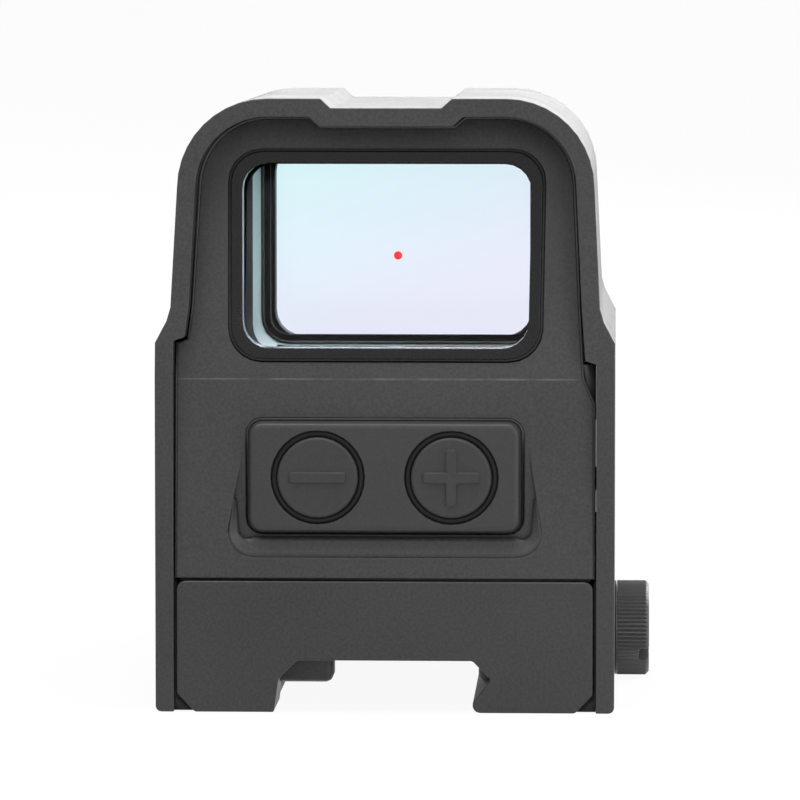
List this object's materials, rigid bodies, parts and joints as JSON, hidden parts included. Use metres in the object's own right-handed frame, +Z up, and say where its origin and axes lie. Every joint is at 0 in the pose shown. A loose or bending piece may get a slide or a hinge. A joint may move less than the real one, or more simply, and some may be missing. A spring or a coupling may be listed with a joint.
{
  "type": "red dot sight",
  "caption": "Enclosed red dot sight in a bent hood, with push buttons under its rear window and a screw clamp for a 21 mm accessory rail.",
  "frame": {"origin": "middle of the rail seat, the flat ceiling of the rail slot", "axes": "+Y towards the target, away from the eye; +Z up; +X to the right as the eye sees it"},
  "size_m": [0.0528, 0.0832, 0.0646],
  "materials": {
    "hood_black": "fine blasted and black anodised, matte",
    "housing_black": "fine blasted and black anodised, matte",
    "base_black": "fine blasted and black anodised, matte",
    "plinth_black": "satin moulded",
    "bezel_black": "satin black",
    "rubber_black": "matte",
    "clear_glass": "polished, coated",
    "coated_glass": "polished, cool reflective coating",
    "black_steel": "black oxide",
    "cap_black": "black anodised",
    "inner_metal": "black anodised",
    "board_green": "solder mask",
    "switch_metal": "plated",
    "battery_shell": "bare sleeve",
    "diode_red": "clear red"
  },
  "bodies": {
    "sight": {"hood": "hood_black", "main_housing": "housing_black", "mount_base": "base_black", "button_plinth": "plinth_black", "rear_bezel": "bezel_black", "front_bezel": "bezel_black", "lens_cell": "bezel_black", "rear_gasket": "rubber_black", "front_gasket": "rubber_black", "windage_seal": "rubber_black", "elevation_seal": "rubber_black", "rear_window": "clear_glass", "front_window": "clear_glass", "reflector_lens": "coated_glass", "rear_guide_pin": "black_steel", "front_guide_pin": "black_steel", "hood_screw_left_1": "black_steel", "hood_screw_left_2": "black_steel", "hood_screw_left_3": "black_steel", "hood_screw_right_1": "black_steel", "hood_screw_right_2": "black_steel", "hood_screw_right_3": "black_steel", "base_screw_rear_left": "black_steel", "base_screw_rear_right": "black_steel", "base_screw_front_left": "black_steel", "base_screw_front_right": "black_steel", "switch_board": "board_green", "control_board": "board_green", "minus_switch": "switch_metal", "plus_switch": "switch_metal", "battery_contact": "switch_metal", "battery": "battery_shell"},
    "minus_button": {"minus_button": "rubber_black"},
    "plus_button": {"plus_button": "rubber_black"},
    "jaw": {"clamp_jaw": "base_black", "cross_bolt": "black_steel"},
    "nut": {"clamp_nut": "black_steel"},
    "cap_seal": {"cap_seal": "rubber_black"},
    "cap": {"battery_cap": "cap_black"},
    "sled": {"windage_sled": "inner_metal"},
    "windage_screw": {"windage_screw": "black_steel"},
    "elevation_screw": {"elevation_screw": "black_steel"},
    "emitter": {"emitter_block": "inner_metal", "emitter_diode": "diode_red"}
  },
  "joints": [
    {"name": "minus_press", "type": "slide", "parent": "sight", "child": "minus_button", "axis": [0, 1, 0], "range_m": [0, 0.0006], "stiffness_N_per_m": 3000},
    {"name": "plus_press", "type": "slide", "parent": "sight", "child": "plus_button", "axis": [0, 1, 0], "range_m": [0, 0.0006], "stiffness_N_per_m": 3000},
    {"name": "nut_turn", "type": "hinge", "parent": "sight", "child": "nut", "pos_m": [0.0245, -0.007, -0.0002], "axis": [-1, 0, 0], "range_deg": [0, 1081]},
    {"name": "jaw_slide", "type": "slide", "parent": "sight", "child": "jaw", "axis": [1, 0, 0], "range_m": [0, 0.0024]},
    {"name": "cap_out", "type": "slide", "parent": "sight", "child": "cap_seal", "axis": [-1, 0, 0], "range_m": [0, 0.0045]},
    {"name": "cap_turn", "type": "hinge", "parent": "cap_seal", "child": "cap", "pos_m": [-0.02225, 0.0325, 0.0187], "axis": [-1, 0, 0], "range_deg": [0, 1621]},
    {"name": "windage_turn", "type": "hinge", "parent": "sight", "child": "windage_screw", "pos_m": [0.02, -0.0202, 0.0257], "axis": [1, 0, 0], "range_deg": [-541, 541]},
    {"name": "windage_shift", "type": "slide", "parent": "sight", "child": "sled", "axis": [1, 0, 0], "range_m": [-0.0006, 0.0006]},
    {"name": "elevation_turn", "type": "hinge", "parent": "sight", "child": "elevation_screw", "pos_m": [0.02, -0.0142, 0.02488], "axis": [1, 0, 0], "range_deg": [-60.5, 60.5]},
    {"name": "elevation_lift", "type": "slide", "parent": "sled", "child": "emitter", "axis": [0, 0, 1], "range_m": [-0.0005, 0.0005]}
  ],
  "couplings": [
    {"joint": "nut_turn", "follows": "jaw_slide", "rad_per_m": 7854},
    {"joint": "cap_turn", "follows": "cap_out", "rad_per_m": 6283.2},
    {"joint": "windage_turn", "follows": "windage_shift", "rad_per_m": 15708},
    {"joint": "elevation_turn", "follows": "elevation_lift", "rad_per_m": 2094.4}
  ]
}
